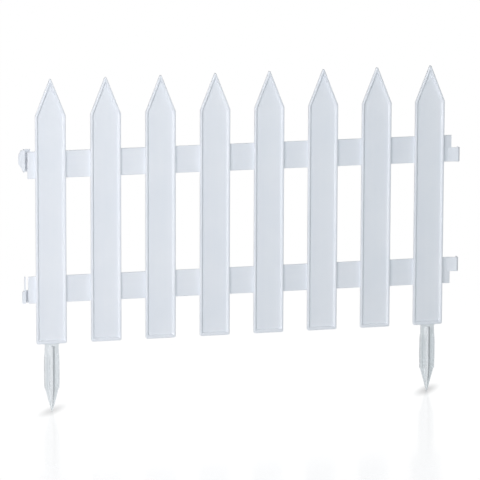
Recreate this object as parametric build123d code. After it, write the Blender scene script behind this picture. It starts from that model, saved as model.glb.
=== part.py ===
from build123d import *
import math
import os

# Garden border fence panel: pointed pickets on two rails, with a stake under each end picket and
# couplers at the rail ends. X runs along the panel, Y from front to back and Z up. The origin is on
# the ground line, on the axis of the left stake. All sizes are in millimetres and degrees.

# Pickets: shallow trays with a raised rim round a sunk panel
picket_count = 8
picket_pitch = 75.0
picket_width = 41.2
picket_shoulder = 309.5
picket_point = 52.0
picket_tip = 1.4
picket_depth = 4.0
picket_corner = 2.5
picket_edge = 1.1
edge_share = 0.6
rim_width = 3.2
rim_bevel = 0.8
bevel_share = 0.3
bevel_slope = 45.0
foot_rim = 4.2
recess_depth = 2.4
recess_draft = 28.0
panel_root = 0.4

# Rails: flat strips behind the pickets
rail_height = 36.5
rail_thickness = 3.0
rail_edge = 0.8
bottom_rail_centre = 74.0
top_rail_centre = 243.5

# Couplers: a slotted hook at the left end of a rail, and a tongue with a lip at the right end
coupler_wall = 1.8
coupler_gap = 0.4
coupler_bend = 2.6
finger_edge = 0.45
slot_reach = 10.2
slot_width = 3.2
slot_depth = 8.0
slot_undercut = 3.0
lip_reach = 3.0
flange_setback = 1.0
top_flange_width = 7.0
bottom_flange_width = 3.1
flange_corner = 1.5
hook_rise = 2.4
hook_height = 30.0
hook_crown = 6.5
hook_taper = 12.0
tongue_height = 19.6
tongue_lead = 4.4
tongue_rise = 4.0

# Stakes: a wing across the panel with beads along its edges, a ridge down its middle and a point
stake_width = 20.2
stake_neck = 18.6
stake_thickness = 2.2
stake_length = 92.5
stake_point = 31.5
stake_shoulder = 0.5
stake_tip = 1.6
bead_width = 2.2
bead_depth = 6.0
bead_start = 13.0
bead_run_out = 5.0
ridge_width = 9.6
ridge_depth = 14.0
ridge_top = 12.0
ridge_start = 2.2
ridge_run_out = 1.4
ridge_nose = 5.0
root_flare = 2.6
tang_length = 3.0
tang_clearance = 0.1

# Places that follow from the sizes above
picket_front = -picket_depth / 2
rail_front = picket_depth / 2
panel_end = (picket_count - 1) * picket_pitch
rail_back = rail_front + rail_thickness
slot_right = -(picket_width / 2 + slot_reach)
slot_left = slot_right - slot_width
slot_wall_left = slot_left - coupler_wall
chamber_right = slot_right + slot_undercut
chamber_wall_right = chamber_right + coupler_wall
web_front = rail_front + slot_depth
web_back = web_front + coupler_wall
flange_front = rail_front + flange_setback
flange_back = flange_front + coupler_wall
hook_end = slot_wall_left - top_flange_width
tongue_root = picket_pitch + hook_end - coupler_gap
lip_end = picket_pitch + slot_left + coupler_gap + coupler_wall
lip_back = flange_back + lip_reach
tang_width = stake_neck + 2 * root_flare
stake_shoulder_z = stake_point - stake_length


def picket_outline(inset, foot):
    # The five-sided outline, drawn in from the edge by inset and up from the ground by foot
    half = picket_width / 2
    slant = math.hypot(half, picket_point)
    side = half - inset
    shoulder = picket_shoulder - inset * (slant - picket_point) / half
    apex = picket_shoulder + picket_point - inset * slant / half
    return Polyline((-side, foot), (side, foot), (side, shoulder), (0, apex), (-side, shoulder), close=True)


def picket_blank():
    # The full outline, rounded at the tip, at the two bottom corners and along the front edge
    face = make_face(picket_outline(0, 0))
    face = fillet(face.vertices().group_by(Axis.Y)[0], picket_corner)
    face = fillet(face.vertices().sort_by(Axis.Y)[-1], picket_tip)
    blank = extrude(Plane.XZ.offset(-rail_front) * face, picket_depth)
    front_edges = blank.faces().sort_by(Axis.Y)[0].outer_wire().edges()
    return fillet(front_edges, min(picket_edge, edge_share * rim_width))


def picket_recess():
    # The sunk panel: a bevel inside the rim, then walls that lean in to let the piece out of its mould
    bevel = min(rim_bevel, bevel_share * rim_width)
    mouth_plane = Plane.XZ.offset(-picket_front)
    mouth = make_face(picket_outline(rim_width - bevel, foot_rim - bevel))
    recess = extrude(mouth_plane * mouth, -bevel, taper=bevel_slope)
    wall_top = make_face(picket_outline(rim_width, foot_rim))
    recess += extrude(mouth_plane.offset(-bevel) * wall_top, bevel - recess_depth, taper=recess_draft)
    return fillet(recess.faces().sort_by(Axis.Y)[-1].edges(), panel_root)


def stake_socket():
    # The slot under an end picket that takes the stake's tang
    slack = 2 * tang_clearance
    return extrude(Rectangle(tang_width + slack, stake_thickness + slack), tang_length)


def make_picket(index):
    picket = picket_blank() - picket_recess()
    if index in (0, picket_count - 1):
        picket -= stake_socket()
    return Pos(index * picket_pitch, 0, 0) * picket


def rail_strip(start, end, centre):
    # A length of rail between two places along X
    middle = Pos((start + end) / 2, rail_front + rail_thickness / 2, centre)
    return middle * Box(end - start, rail_thickness, rail_height)


def round_long_edges(strip):
    return fillet(strip.edges().filter_by(Axis.X), rail_edge)


def make_rail(centre):
    # A flat strip from the outer edge of the first picket to the outer edge of the last
    return round_long_edges(rail_strip(-picket_width / 2, panel_end + picket_width / 2, centre))


def hook_root(centre):
    # The flat end of the rail, from the picket's edge to the slot, with its free corners rounded
    root = rail_strip(slot_right, -picket_width / 2, centre)
    root = fillet(root.faces().sort_by(Axis.X)[0].edges().filter_by(Axis.Y), flange_corner)
    return round_long_edges(root)


def hook_plan(flange_width):
    # The slot from above: a wall behind the rail, the web, the outer wall, and a flange set back
    end = slot_wall_left - flange_width
    plan = Polyline(
        (chamber_wall_right, rail_back),
        (chamber_right, rail_back),
        (chamber_right, web_front),
        (slot_left, web_front),
        (slot_left, flange_front),
        (end, flange_front),
        (end, flange_back),
        (slot_wall_left, flange_back),
        (slot_wall_left, web_back),
        (chamber_wall_right, web_back),
        close=True,
    )
    return make_face(plan)


def make_top_hook():
    # A tall flange, cut back above and below, beside a slot that is open at both ends
    high = top_rail_centre + rail_height / 2 + hook_rise
    low = high - hook_height
    channel = extrude(Pos(0, 0, low) * hook_plan(top_flange_width), hook_height)
    outline = Polyline(
        (chamber_wall_right, low),
        (slot_wall_left, low),
        (hook_end, low + hook_taper),
        (hook_end, high - hook_crown),
        (hook_end + top_flange_width / 2, high),
        (chamber_wall_right, high),
        close=True,
    )
    face = make_face(outline)
    face = fillet(face.vertices().group_by(Axis.X)[0], flange_corner)
    return hook_root(top_rail_centre) + (channel & extrude(Plane.XZ * face, -web_back))


def make_bottom_hook():
    # The lower part carries the web and a short flange; above it the outer wall stands free
    low = bottom_rail_centre - rail_height / 2
    web_height = rail_height - tongue_height - coupler_gap
    channel = extrude(Pos(0, 0, low) * hook_plan(bottom_flange_width), web_height)
    channel = fillet(channel.faces().sort_by(Axis.X)[0].edges().filter_by(Axis.Y), flange_corner)
    finger = Box(coupler_wall, rail_thickness, rail_height, align=(Align.MAX, Align.MIN, Align.MIN))
    finger = fillet(finger.faces().sort_by(Axis.Z)[-1].edges().filter_by(Axis.Y), finger_edge)
    return hook_root(bottom_rail_centre) + channel + Pos(slot_left, flange_front, low) * finger


def make_tab(centre, tongue_low):
    # The full-height end of the rail, and a tongue that climbs off it to a lip bent to the back
    start = tongue_root - tongue_lead
    crest = rail_front - tongue_rise
    plan = Polyline(
        (start, rail_front),
        (lip_end, crest),
        (lip_end, lip_back),
        (lip_end - coupler_wall, lip_back),
        (lip_end - coupler_wall, crest + coupler_wall),
        (start, rail_front + coupler_wall),
        close=True,
    )
    face = make_face(plan)
    bend = face.vertices().sort_by_distance((lip_end, crest))[0]
    face = fillet(bend, coupler_bend)
    tongue = extrude(Pos(0, 0, tongue_low) * face, tongue_height)
    tongue = fillet(tongue.faces().sort_by(Axis.X)[-1].edges().filter_by(Axis.Y), coupler_wall / 2)
    root = round_long_edges(rail_strip(picket_width / 2, tongue_root, centre))
    return Pos(panel_end, 0, 0) * (root + tongue)


def make_top_tab():
    return make_tab(top_rail_centre, top_rail_centre - rail_height / 2)


def make_bottom_tab():
    return make_tab(bottom_rail_centre, bottom_rail_centre + rail_height / 2 - tongue_height)


def flank(side, inset):
    # The slightly barrelled flank of the wing, drawn in from its edge by inset
    neck = side * (stake_neck / 2 - inset)
    belly = side * (stake_width / 2 - inset)
    middle = (stake_shoulder_z - root_flare) / 2
    return ThreePointArc((neck, -root_flare), (belly, middle), ((neck + belly) / 2, stake_shoulder_z))


def wing_side(side):
    # One edge of the wing: tang, flared root, flank, shoulder and point
    edge = flank(side, 0)
    flare = side * tang_width / 2
    point_top = edge @ 1 - Vector(side * stake_shoulder, stake_shoulder)
    tip = (side * stake_tip / 2, -stake_length)
    return [
        Line((0, tang_length), (flare, tang_length)),
        Line((flare, tang_length), (flare, 0)),
        RadiusArc((flare, 0), edge @ 0, -side * root_flare),
        edge,
        Line(edge @ 1, point_top),
        Line(point_top, tip),
        Line(tip, (0, -stake_length)),
    ]


def stake_wing():
    face = make_face(Plane.XZ * Curve(wing_side(1) + wing_side(-1)))
    return extrude(face, stake_thickness / 2, both=True)


def side_view(edge):
    # A face in the YZ plane, with the given edge at the back and its mirror image at the front
    return make_face(Plane.YZ * Polyline(*edge, *[(-y, z) for y, z in reversed(edge)], close=True))


def diamond(width, depth):
    return make_face(Polyline((width / 2, 0), (0, depth / 2), (-width / 2, 0), (0, -depth / 2), close=True))


def stake_bead(side):
    # A thicker edge along the flank, which rises out of the wing and ends square at the shoulder
    full = bead_depth / 2
    outer = flank(side, 0)
    inner = flank(side, bead_width)
    strip = Curve([outer, inner, Line(outer @ 0, inner @ 0), Line(outer @ 1, inner @ 1)])
    bar = extrude(make_face(Plane.XZ * strip), full, both=True)
    rise = [(stake_thickness / 2, -bead_start), (full, -bead_start - bead_run_out), (full, stake_shoulder_z)]
    return bar & extrude(side_view(rise), stake_width, both=True)


def stake_ridge():
    # A diamond section that rises out of the wing below the root, deepens and runs down to the tip
    root = Pos(0, 0, -ridge_start) * diamond(ridge_nose, stake_thickness)
    top = Pos(0, 0, -ridge_start - ridge_run_out) * diamond(ridge_width, ridge_top)
    shoulder = Pos(0, 0, stake_shoulder_z) * diamond(ridge_width, ridge_depth)
    tip = Pos(0, 0, -stake_length) * diamond(stake_tip, stake_tip)
    return loft([root, top, shoulder, tip], ruled=True)


def make_stake(index):
    return Pos(index * picket_pitch, 0, 0) * (stake_wing() + stake_ridge() + stake_bead(1) + stake_bead(-1))


nodes = {f"picket_{index + 1}": make_picket(index) for index in range(picket_count)}
nodes["bottom_rail"] = make_rail(bottom_rail_centre)
nodes["top_rail"] = make_rail(top_rail_centre)
nodes["bottom_hook"] = make_bottom_hook()
nodes["top_hook"] = make_top_hook()
nodes["bottom_tab"] = make_bottom_tab()
nodes["top_tab"] = make_top_tab()
nodes["left_stake"] = make_stake(0)
nodes["right_stake"] = make_stake(picket_count - 1)

os.makedirs("parts", exist_ok=True)
for name, solid in nodes.items():
    export_step(solid, f"parts/{name}.step")
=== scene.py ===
import bpy
import math
from mathutils import Matrix, Vector


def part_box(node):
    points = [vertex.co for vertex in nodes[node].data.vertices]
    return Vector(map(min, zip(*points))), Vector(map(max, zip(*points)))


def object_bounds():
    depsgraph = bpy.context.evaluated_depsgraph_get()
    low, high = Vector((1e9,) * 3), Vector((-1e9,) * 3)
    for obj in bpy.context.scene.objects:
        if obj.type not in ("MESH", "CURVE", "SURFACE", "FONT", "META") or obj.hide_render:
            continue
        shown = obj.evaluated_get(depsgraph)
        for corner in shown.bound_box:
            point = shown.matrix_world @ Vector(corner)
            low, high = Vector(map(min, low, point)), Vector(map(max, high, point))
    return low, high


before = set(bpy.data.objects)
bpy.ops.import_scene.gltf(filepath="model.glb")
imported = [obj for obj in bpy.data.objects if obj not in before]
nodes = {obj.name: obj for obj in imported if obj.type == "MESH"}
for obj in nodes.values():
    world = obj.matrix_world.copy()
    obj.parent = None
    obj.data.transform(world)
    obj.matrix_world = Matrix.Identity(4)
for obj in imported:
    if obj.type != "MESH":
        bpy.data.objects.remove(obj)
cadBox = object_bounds()
print("frame loaded:", len(nodes), "nodes")


# small helpers for shader trees

def addNode(tree, kind, inputs=None, **settings):
    node = tree.nodes.new(kind)
    for name, value in settings.items():
        setattr(node, name, value)
    for key, value in (inputs or {}).items():
        if isinstance(value, bpy.types.NodeSocket):
            tree.links.new(value, node.inputs[key])
        else:
            node.inputs[key].default_value = value
    return node


def calc(tree, operation, first, second=0.0):
    return addNode(tree, "ShaderNodeMath", {0: first, 1: second}, operation=operation).outputs[0]


def mathVector(tree, operation, first, second=(0, 0, 0)):
    node = addNode(tree, "ShaderNodeVectorMath", {0: first, 1: second}, operation=operation)
    return node.outputs["Value" if operation in ("DOT_PRODUCT", "LENGTH") else "Vector"]


def noise(tree, place, scale, detail):
    return addNode(tree, "ShaderNodeTexNoise", {"Vector": place, "Scale": scale, "Detail": detail}).outputs[0]


def remap(tree, value, low, high, toLow, toHigh, kind="LINEAR"):
    limits = {"Value": value, "From Min": low, "From Max": high, "To Min": toLow, "To Max": toHigh}
    return addNode(tree, "ShaderNodeMapRange", limits, interpolation_type=kind).outputs["Result"]


def newGroup(name, inputs, outputs):
    tree = bpy.data.node_groups.new(name, "ShaderNodeTree")
    for label, kind, value in inputs:
        tree.interface.new_socket(label, in_out="INPUT", socket_type=kind).default_value = value
    for label, kind in outputs:
        tree.interface.new_socket(label, in_out="OUTPUT", socket_type=kind)
    return tree, tree.nodes.new("NodeGroupInput").outputs, tree.nodes.new("NodeGroupOutput").inputs


def useGroup(tree, group, inputs):
    node = tree.nodes.new("ShaderNodeGroup")
    node.node_tree = group
    for key, value in inputs.items():
        if isinstance(value, bpy.types.NodeSocket):
            tree.links.new(value, node.inputs[key])
        else:
            node.inputs[key].default_value = value
    return node.outputs


number, vector, colour = "NodeSocketFloat", "NodeSocketVector", "NodeSocketColor"


# the shared plastic effects

noiseScale = dict(clouds=14.0, streaks=190.0, ripple=60.0, patch=25.0, chips=260.0)  # per metre
noiseBand = (0.35, 0.65)  # the noise is stretched from this band to 0 and 1
chipBand = (0.4, 0.6)
edgeTurn = (0.995, 0.85)  # cosine of the turn where the edge rub and painted highlight start and where they are full


def makeMouldTone():
    # soft clouds and long flow streaks: colour goes from base to shade by clouds + streaks
    tree, given, out = newGroup(
        "mouldTone",
        [("Place", vector, (0, 0, 0)), ("Flow", vector, (1, 1, 1)), ("Base", colour, (0.8, 0.8, 0.8, 1)),
         ("Shade", colour, (0.7, 0.7, 0.7, 1)), ("Clouds", number, 0.3), ("Streaks", number, 0.2)],
        [("Colour", colour)])
    clouds = noise(tree, given["Place"], noiseScale["clouds"], 3.0)
    flow = mathVector(tree, "MULTIPLY", given["Place"], given["Flow"])
    streaks = noise(tree, flow, noiseScale["streaks"], 2.0)
    cloudPart = calc(tree, "MULTIPLY", remap(tree, clouds, *noiseBand, 0.0, 1.0), given["Clouds"])
    streakPart = calc(tree, "MULTIPLY", remap(tree, streaks, *noiseBand, 0.0, 1.0), given["Streaks"])
    both = calc(tree, "ADD", cloudPart, streakPart)
    mix = addNode(tree, "ShaderNodeMix", {"Factor": both}, data_type="RGBA")
    tree.links.new(given["Base"], mix.inputs[6])
    tree.links.new(given["Shade"], mix.inputs[7])
    tree.links.new(mix.outputs[2], out["Colour"])
    return tree


def makeMouldSkin():
    # the moulded face: height = fine grain + long ripples along the flow, and a gloss in patches
    tree, given, out = newGroup(
        "mouldSkin",
        [("Place", vector, (0, 0, 0)), ("Flow", vector, (1, 1, 1)), ("Grain Size", number, 1400.0),
         ("Grain", number, 0.5), ("Ripple", number, 0.5), ("Gloss", number, 0.4),
         ("Gloss Change", number, 0.1)],
        [("Height", number), ("Roughness", number)])
    flow = mathVector(tree, "MULTIPLY", given["Place"], given["Flow"])
    grain = noise(tree, given["Place"], given["Grain Size"], 2.0)
    ripple = noise(tree, flow, noiseScale["ripple"], 1.0)
    patch = noise(tree, flow, noiseScale["patch"], 4.0)
    height = calc(tree, "ADD", calc(tree, "MULTIPLY", grain, given["Grain"]),
                  calc(tree, "MULTIPLY", ripple, given["Ripple"]))
    change = calc(tree, "MULTIPLY", calc(tree, "SUBTRACT", patch, 0.5), given["Gloss Change"])
    tree.links.new(height, out["Height"])
    tree.links.new(calc(tree, "ADD", given["Gloss"], change), out["Roughness"])
    return tree


def makeEdgeRubAndHighlight():
    # where the rounded normal leaves the true one, broken up by noise: edge rub, and on the stakes a painted
    # highlight
    tree, given, out = newGroup(
        "edgeRubAndHighlight",
        [("Place", vector, (0, 0, 0)), ("Reach", number, 0.0006), ("Breakup", number, 0.5)],
        [("Mask", number)])
    soft = addNode(tree, "ShaderNodeBevel", {"Radius": given["Reach"]}, samples=6)
    true = addNode(tree, "ShaderNodeNewGeometry")
    turn = mathVector(tree, "DOT_PRODUCT", soft.outputs[0], true.outputs["Normal"])
    edge = remap(tree, turn, *edgeTurn, 0.0, 1.0)
    chips = noise(tree, given["Place"], noiseScale["chips"], 4.0)
    keep = calc(tree, "MULTIPLY", remap(tree, chips, *chipBand, 0.0, 1.0), given["Breakup"])
    tree.links.new(calc(tree, "MULTIPLY", edge, calc(tree, "SUBTRACT", 1.0, keep)), out["Mask"])
    return tree


mouldTone = makeMouldTone()
mouldSkin = makeMouldSkin()
edgeRubAndHighlight = makeEdgeRubAndHighlight()
print("shared plastic effects built")


# one white plastic, with its own flow and edge rub for each kind of piece; on the stakes the pale edge mark
# is a painted highlight

def makePlastic(name, look):
    material = bpy.data.materials.new(name)
    material.use_nodes = True
    tree = material.node_tree
    shader = tree.nodes["Principled BSDF"]
    place = addNode(tree, "ShaderNodeTexCoord").outputs["Object"]
    tone = useGroup(tree, mouldTone, {
        "Place": place, "Flow": look["flow"], "Base": (*look["base"], 1), "Shade": (*look["shade"], 1),
        "Clouds": look["clouds"], "Streaks": look["streaks"]})
    skin = useGroup(tree, mouldSkin, {
        "Place": place, "Flow": look["flow"], "Grain Size": look["grainSize"], "Grain": look["grain"],
        "Ripple": look["ripple"], "Gloss": look["gloss"], "Gloss Change": look["glossChange"]})
    rubAndHighlight = useGroup(tree, edgeRubAndHighlight, {"Place": place, "Reach": look["rubAndHighlightReach"], "Breakup": look["rubAndHighlightBreakup"]})
    # paler edges: rubbed wear, and on the stakes a painted highlight
    rubAndHighlightMix = calc(tree, "MULTIPLY", rubAndHighlight["Mask"], look["rubAndHighlightAmount"])
    wornAndHighlighted = addNode(tree, "ShaderNodeMix", {"Factor": rubAndHighlightMix}, data_type="RGBA")
    tree.links.new(tone["Colour"], wornAndHighlighted.inputs[6])
    wornAndHighlighted.inputs[7].default_value = (*look["rubAndHighlightColour"], 1)
    relief = {"Height": skin["Height"], "Distance": look["bumpDepth"], "Strength": 1.0}
    bump = addNode(tree, "ShaderNodeBump", relief)
    rough = calc(tree, "ADD", skin["Roughness"], calc(tree, "MULTIPLY", rubAndHighlight["Mask"], look["rubRough"]))
    tree.links.new(wornAndHighlighted.outputs[2], shader.inputs["Base Color"])
    tree.links.new(rough, shader.inputs["Roughness"])
    tree.links.new(bump.outputs[0], shader.inputs["Normal"])
    shader.inputs["IOR"].default_value = look["ior"]
    return material


plasticLook = dict(
    base=(0.806, 0.826, 0.864), shade=(0.736, 0.770, 0.826), clouds=0.4, streaks=0.12,
    grainSize=1500.0, grain=0.6, ripple=0.35, bumpDepth=0.0002, gloss=0.42, glossChange=0.22, ior=1.49,
    rubAndHighlightReach=0.0006, rubAndHighlightBreakup=0.6, rubAndHighlightAmount=0.4, rubAndHighlightColour=(0.86, 0.87, 0.89), rubRough=0.12)
picketLook = dict(plasticLook, flow=(1, 1, 0.05))
railLook = dict(plasticLook, flow=(0.05, 1, 1), gloss=0.45)
couplerLook = dict(plasticLook, flow=(0.4, 1, 0.4), rubAndHighlightAmount=0.55)
# the stakes get a darker, greyer copy of the same plastic, which is painted shade, and a strong pale edge
# mark, which is a painted highlight
stakeLook = dict(
    plasticLook, flow=(1, 1, 0.08), base=(0.739, 0.762, 0.772), shade=(0.679, 0.707, 0.722), gloss=0.48,
    rubAndHighlightReach=0.0016, rubAndHighlightBreakup=0.3, rubAndHighlightAmount=0.9, rubAndHighlightColour=(0.91, 0.93, 0.935))

finishes = {
    "picket": makePlastic("picketPlastic", picketLook),
    "rail": makePlastic("railPlastic", railLook),
    "hook": makePlastic("hookPlastic", couplerLook),
    "tab": makePlastic("tabPlastic", couplerLook),
    "stake": makePlastic("stakePlastic", stakeLook),
}
for nodeName, node in nodes.items():
    kind = next(word for word in finishes if word in nodeName)
    node.data.materials.clear()
    node.data.materials.append(finishes[kind])
print("plastic on", len(nodes), "nodes")


# the studio: a pale polished floor seen as white, an even sky, the lamps and the camera

# the oval marks under the stake tips are painted shadows: how dark they are, how far and which way they reach
floorLook = dict(
    halfSize=14.0, tone=(0.60, 0.61, 0.63), shadowShare=0.22, paperLevel=0.20, fadeReach=(0.9, 0.9, 1.0),
    polish=0.14, polishIor=1.22, paintedShadowAlong=(0.54, 0.84, 0.0), paintedShadowAcross=(0.84, -0.54, 0.0),
    paintedShadowReach=(0.052, 0.017, 1.0), paintedShadowDark={"left_stake": 0.34, "right_stake": 0.44})


def makeFloorShade():
    # a soft oval on the floor, turned to the along direction: 1 at its centre, 0 at its reach
    tree, given, out = newGroup(
        "floorShade",
        [("Place", vector, (0, 0, 0)), ("Centre", vector, (0, 0, 0)), ("Along", vector, (1, 0, 0)),
         ("Across", vector, (0, 1, 0)), ("Reach", vector, (1, 1, 1))],
        [("Mask", number)])
    offset = mathVector(tree, "SUBTRACT", given["Place"], given["Centre"])
    along = mathVector(tree, "DOT_PRODUCT", offset, given["Along"])
    across = mathVector(tree, "DOT_PRODUCT", offset, given["Across"])
    turned = addNode(tree, "ShaderNodeCombineXYZ", {"X": along, "Y": across}).outputs[0]
    far = mathVector(tree, "LENGTH", mathVector(tree, "DIVIDE", turned, given["Reach"]))
    tree.links.new(remap(tree, far, 0.0, 1.0, 1.0, 0.0, "SMOOTHSTEP"), out["Mask"])
    return tree


def tipOf(stake):
    low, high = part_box(stake)
    return Vector(((low.x + high.x) / 2, (low.y + high.y) / 2, low.z))


def directRay(tree):
    # rays that look straight at the backdrop see it white, light that bounces sees it as lit
    path = addNode(tree, "ShaderNodeLightPath").outputs
    mirrored = calc(tree, "MAXIMUM", path["Is Glossy Ray"], path["Is Transmission Ray"])
    return calc(tree, "MAXIMUM", path["Is Camera Ray"], mirrored)


def makeFloor():
    size, level = floorLook["halfSize"], cadBox[0].z
    mesh = bpy.data.meshes.new("studioFloor")
    corners = [(-size, -size, level), (size, -size, level), (size, size, level), (-size, size, level)]
    mesh.from_pydata(corners, [], [(0, 1, 2, 3)])
    floor = bpy.data.objects.new("studioFloor", mesh)
    bpy.context.scene.collection.objects.link(floor)
    material = bpy.data.materials.new("studioFloor")
    material.use_nodes = True
    material.cycles.emission_sampling = "NONE"
    tree = material.node_tree
    tree.nodes.clear()
    place = addNode(tree, "ShaderNodeTexCoord").outputs["Object"]
    floorShade = makeFloorShade()
    light = 1.0
    # painted shadow: a dark oval is painted into the floor's white under each stake tip, stretched the way
    # the lamps' shadows fall
    for stake, dark in floorLook["paintedShadowDark"].items():
        oval = useGroup(tree, floorShade, {
            "Place": place, "Centre": tipOf(stake), "Reach": floorLook["paintedShadowReach"],
            "Along": floorLook["paintedShadowAlong"], "Across": floorLook["paintedShadowAcross"]})
        light = calc(tree, "SUBTRACT", light, calc(tree, "MULTIPLY", oval["Mask"], dark))
    middle = (cadBox[0] + cadBox[1]) / 2
    near = useGroup(tree, floorShade, {
        "Place": place, "Centre": (middle.x, middle.y, level), "Reach": floorLook["fadeReach"]})
    share = calc(tree, "MULTIPLY", near["Mask"], floorLook["shadowShare"])
    # white = (1 - painted shadows - share * paper's own level) + share * lit paper, so only the painted
    # shadows and real shade take it below 1
    rest = calc(tree, "SUBTRACT", light, calc(tree, "MULTIPLY", share, floorLook["paperLevel"]))
    white = addNode(tree, "ShaderNodeEmission", {"Strength": rest})
    thin = addNode(tree, "ShaderNodeMix", {"Factor": share}, data_type="RGBA")
    thin.inputs[6].default_value = (0, 0, 0, 1)
    thin.inputs[7].default_value = (*floorLook["tone"], 1)
    thinPaper = addNode(tree, "ShaderNodeBsdfDiffuse", {"Color": thin.outputs[2]})
    seen = addNode(tree, "ShaderNodeAddShader", {0: white.outputs[0], 1: thinPaper.outputs[0]})
    gloss = {"Color": (1, 1, 1, 1), "Roughness": floorLook["polish"]}
    shine = addNode(tree, "ShaderNodeBsdfGlossy", gloss, distribution="MULTI_GGX")
    fresnel = addNode(tree, "ShaderNodeFresnel", {"IOR": floorLook["polishIor"]}).outputs[0]
    polished = addNode(tree, "ShaderNodeMixShader", {0: fresnel, 1: seen.outputs[0], 2: shine.outputs[0]})
    paper = addNode(tree, "ShaderNodeBsdfDiffuse", {"Color": (*floorLook["tone"], 1)})
    shaders = {0: directRay(tree), 1: paper.outputs[0], 2: polished.outputs[0]}
    both = addNode(tree, "ShaderNodeMixShader", shaders)
    out = addNode(tree, "ShaderNodeOutputMaterial")
    tree.links.new(both.outputs[0], out.inputs["Surface"])
    mesh.materials.append(material)


skyLook = dict(tint=(0.92, 1.0, 1.06), strength=0.10)


def makeSky():
    world = bpy.data.worlds.new("studioSky")
    bpy.context.scene.world = world
    world.use_nodes = True
    tree = world.node_tree
    tree.nodes.clear()
    dim = {"Color": (*skyLook["tint"], 1), "Strength": skyLook["strength"]}
    glow = addNode(tree, "ShaderNodeBackground", dim)
    white = addNode(tree, "ShaderNodeBackground", {"Color": (1, 1, 1, 1), "Strength": 1.0})
    both = addNode(tree, "ShaderNodeMixShader", {0: directRay(tree), 1: glow.outputs[0], 2: white.outputs[0]})
    out = addNode(tree, "ShaderNodeOutputWorld")
    tree.links.new(both.outputs[0], out.inputs["Surface"])


def makeLamp(name, look):
    lamp = bpy.data.lights.new(name, "AREA")
    lamp.shape = "DISK"
    lamp.size = look["size"]
    lamp.energy = look["watts"]
    lamp.color = look["tint"]
    holder = bpy.data.objects.new(name, lamp)
    bpy.context.scene.collection.objects.link(holder)
    holder.location = look["place"]
    beam = Vector(look["aim"]) - Vector(look["place"])
    holder.rotation_euler = beam.to_track_quat("-Z", "Y").to_euler()
    holder.visible_glossy = look["mirrored"]


# two wide boxes light the front and one the back, a lamp far to the left lights the edges, and two
# small ones the near end; the back box isn't mirrored, because the polished floor would show it
panelMiddle = (0.26, 0.0, 0.18)
lampLooks = dict(
    frontBox=dict(place=(0.1, -3.0, 1.0), aim=panelMiddle, size=3.0, watts=42.0,
                  tint=(0.95, 1.0, 1.01), mirrored=True),
    leftBox=dict(place=(-1.6, -2.6, 1.0), aim=panelMiddle, size=2.4, watts=32.0,
                 tint=(0.93, 0.985, 1.02), mirrored=True),
    sideLamp=dict(place=(-4.0, -0.5, 0.7), aim=panelMiddle, size=2.0, watts=49.0,
                  tint=(1.0, 0.975, 0.96), mirrored=True),
    backBox=dict(place=(1.5, 3.0, 1.2), aim=panelMiddle, size=3.0, watts=78.0,
                 tint=(0.97, 1.0, 1.01), mirrored=False),
    nearLamp=dict(place=(-0.56, -0.86, 0.92), aim=(0.3, 0.0, 0.2), size=0.8, watts=2.1,
                  tint=(1.0, 0.86, 0.85), mirrored=True),
    lowLamp=dict(place=(-0.12, -0.55, 0.02), aim=(0.02, 0.0, 0.06), size=0.4, watts=0.28,
                 tint=(1.0, 0.90, 0.92), mirrored=True))


# the camera stands left of the panel and a little above it
cameraLook = dict(
    target=(0.2599, 0.0, 0.1299), azimuth=-14.01, elevation=11.41, roll=0.19, distance=5.5,
    lens=305.5, sensor=36.0, farClip=100.0)


def makeCamera():
    data = bpy.data.cameras.new("studioCamera")
    data.lens = cameraLook["lens"]
    data.sensor_width = cameraLook["sensor"]
    data.clip_end = cameraLook["farClip"]
    camera = bpy.data.objects.new("studioCamera", data)
    bpy.context.scene.collection.objects.link(camera)
    turn, rise = math.radians(cameraLook["azimuth"]), math.radians(cameraLook["elevation"])
    back = Vector((math.sin(turn) * math.cos(rise), -math.cos(turn) * math.cos(rise), math.sin(rise)))
    level = (-back).to_track_quat("-Z", "Y").to_matrix()
    tilt = Matrix.Rotation(math.radians(cameraLook["roll"]), 3, "Z")
    stand = Matrix.Translation(Vector(cameraLook["target"]) + back * cameraLook["distance"])
    camera.matrix_world = stand @ (level @ tilt).to_4x4()
    bpy.context.scene.camera = camera


makeFloor()
makeSky()
for lampName, lampLook in lampLooks.items():
    makeLamp(lampName, lampLook)
makeCamera()
bpy.context.scene.view_settings.view_transform = "Standard"
print("studio, lamps and camera set")
